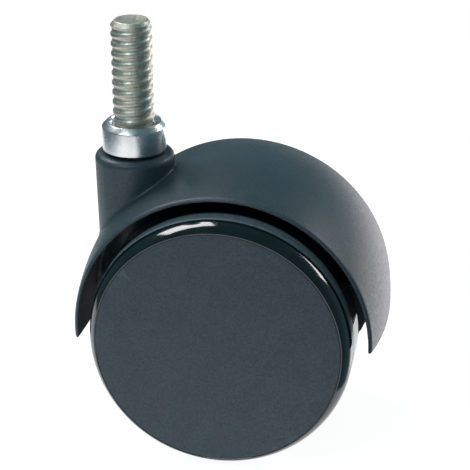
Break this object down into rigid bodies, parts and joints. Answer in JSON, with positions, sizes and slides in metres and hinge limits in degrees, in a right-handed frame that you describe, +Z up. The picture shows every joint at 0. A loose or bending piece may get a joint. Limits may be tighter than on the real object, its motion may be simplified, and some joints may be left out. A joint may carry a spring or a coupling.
{
  "type": "chair caster wheel",
  "caption": "Hooded chair caster: paired wheels on an axle under a curved hood that swivels on a threaded stem with a collar.",
  "frame": {"origin": "on the stem's axis, at the top face of the collar, where the furniture's foot rests", "axes": "+Z up along the threaded stem; +X from the stem towards the axle, the side the wheels trail on; Y along the axle"},
  "size_m": [0.0596, 0.0416, 0.0815],
  "materials": {
    "zinc_steel": "zinc plated, dull bright",
    "collar_chrome": "polished chrome plate",
    "spring_steel": "oiled spring steel",
    "hood_nylon": "fine spark texture, dark slate grey",
    "bearing_steel": "ground steel",
    "black_acetal": "smooth",
    "washer_steel": "zinc plated",
    "wheel_nylon": "satin moulded",
    "tread_nylon": "glossy moulded",
    "natural_acetal": "smooth",
    "cover_nylon": "fine spark texture, slate grey"
  },
  "bodies": {
    "stem": {"threaded_stem": "zinc_steel", "stem_collar": "collar_chrome", "retaining_ring": "spring_steel"},
    "housing": {"hood_body": "hood_nylon", "socket_sleeve": "bearing_steel", "thrust_pad": "bearing_steel", "thrust_washer": "black_acetal", "axle": "bearing_steel", "front_inner_washer": "washer_steel", "rear_inner_washer": "washer_steel", "front_outer_washer": "washer_steel", "rear_outer_washer": "washer_steel", "front_push_nut": "spring_steel", "rear_push_nut": "spring_steel"},
    "front_wheel": {"front_wheel_core": "wheel_nylon", "front_tread": "tread_nylon", "front_hub_bush": "natural_acetal", "front_wheel_cover": "cover_nylon"},
    "rear_wheel": {"rear_wheel_core": "wheel_nylon", "rear_tread": "tread_nylon", "rear_hub_bush": "natural_acetal", "rear_wheel_cover": "cover_nylon"}
  },
  "joints": [
    {"name": "swivel", "type": "hinge", "parent": "stem", "child": "housing", "pos_m": [0, 0, 0], "axis": [0, 0, 1], "continuous": true},
    {"name": "front_wheel_spin", "type": "hinge", "parent": "housing", "child": "front_wheel", "pos_m": [0.0195, 0, -0.0367], "axis": [0, 1, 0], "continuous": true},
    {"name": "rear_wheel_spin", "type": "hinge", "parent": "housing", "child": "rear_wheel", "pos_m": [0.0195, 0, -0.0367], "axis": [0, 1, 0], "continuous": true}
  ]
}
